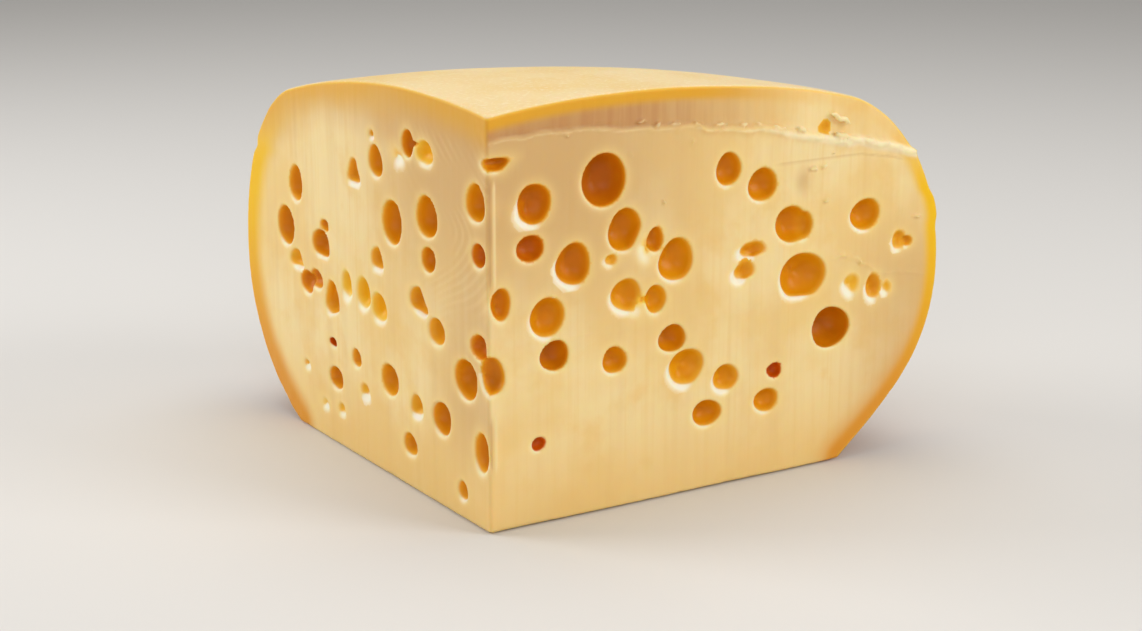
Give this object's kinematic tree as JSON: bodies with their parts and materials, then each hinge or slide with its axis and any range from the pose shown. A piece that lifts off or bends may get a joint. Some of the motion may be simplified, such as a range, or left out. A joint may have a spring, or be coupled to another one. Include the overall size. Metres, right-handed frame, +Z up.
{
  "type": "cheese wedge",
  "caption": "Quarter wedge cut from a domed wheel of large-eyed semi-hard cheese, with a yellow coated rim and open eyes on both cut faces.",
  "frame": {"origin": "middle of the bounding box, on the flat underside that the wedge stands on", "axes": "+Z up, -Y towards the sharp edge where the two cut faces meet, +Y towards the coated rim, +X along the wedge's widest extent"},
  "size_m": [0.2596, 0.1836, 0.1389],
  "materials": {
    "cheese": "cut cheese: pale cream paste with a waxy satin sheen, amber glossy eyes and a yellow coated rim"
  },
  "bodies": {
    "root": {"cheese_wedge": "cheese"}
  },
  "joints": []
}
